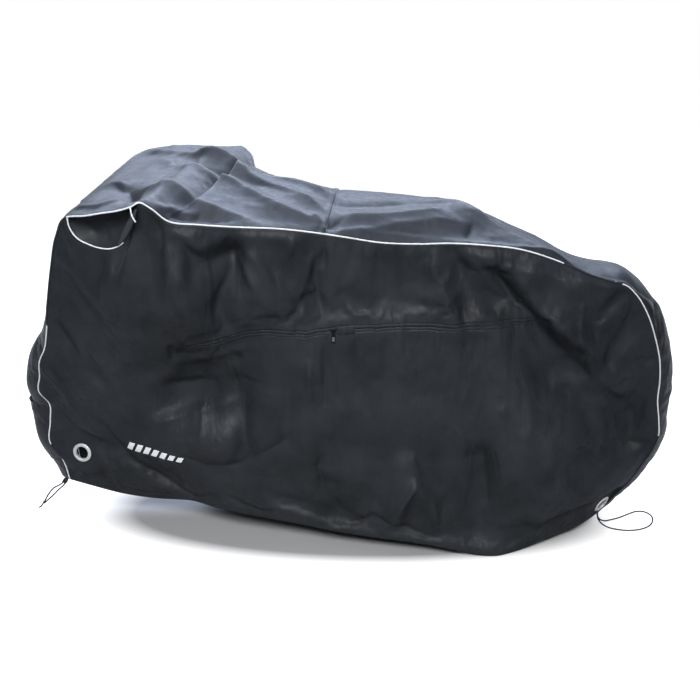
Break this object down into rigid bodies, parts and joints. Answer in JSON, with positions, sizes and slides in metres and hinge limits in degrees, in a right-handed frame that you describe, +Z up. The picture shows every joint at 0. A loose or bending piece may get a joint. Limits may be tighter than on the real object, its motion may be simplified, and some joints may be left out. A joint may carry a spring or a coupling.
{
  "type": "bicycle cover",
  "caption": "Fitted cloth cover for a bicycle: two side panels and a gusset joined by reflective piping, with a vent, a zip, lock eyelets and hem cords.",
  "frame": {"origin": "underside of the top panel at the crest over the saddle, where the bicycle carries the cover", "axes": "+X towards the rear wheel, +Y towards the far side, +Z up"},
  "size_m": [1.8829, 0.6987, 1.0875],
  "materials": {
    "side_cloth": "coated polyester, black-grey",
    "top_cloth": "coated polyester, satin",
    "piping": "silver reflective sleeve",
    "zip_tape": "woven tape",
    "zip_metal": "black lacquered die casting",
    "eyelet_metal": "nickel plated",
    "cord": "braided elastic cord",
    "cord_lock": "moulded"
  },
  "bodies": {
    "root": {"side_panel_near": "side_cloth", "side_panel_far": "side_cloth", "vent_back": "side_cloth", "vent_facing": "side_cloth", "eyelet_patch_front_near": "side_cloth", "eyelet_patch_rear_near": "side_cloth", "eyelet_patch_front_far": "side_cloth", "eyelet_patch_rear_far": "side_cloth", "top_panel_front": "top_cloth", "top_panel_rear": "top_cloth", "piping_near": "piping", "piping_far": "piping", "vent_piping": "piping", "vent_stub": "piping", "zip_welt_upper": "zip_tape", "zip_welt_lower": "zip_tape", "zip_garage": "zip_tape", "zip_end_tab": "zip_tape", "zip_slider": "zip_metal", "zip_pull": "zip_metal", "eyelet_ring_front_near": "eyelet_metal", "eyelet_ring_rear_near": "eyelet_metal", "eyelet_ring_front_far": "eyelet_metal", "eyelet_ring_rear_far": "eyelet_metal", "drawcord_front_a": "cord", "drawcord_front_b": "cord", "drawcord_knot": "cord", "drawcord_tail": "cord", "drawcord_rear": "cord", "cord_lock": "cord_lock"}
  },
  "joints": []
}
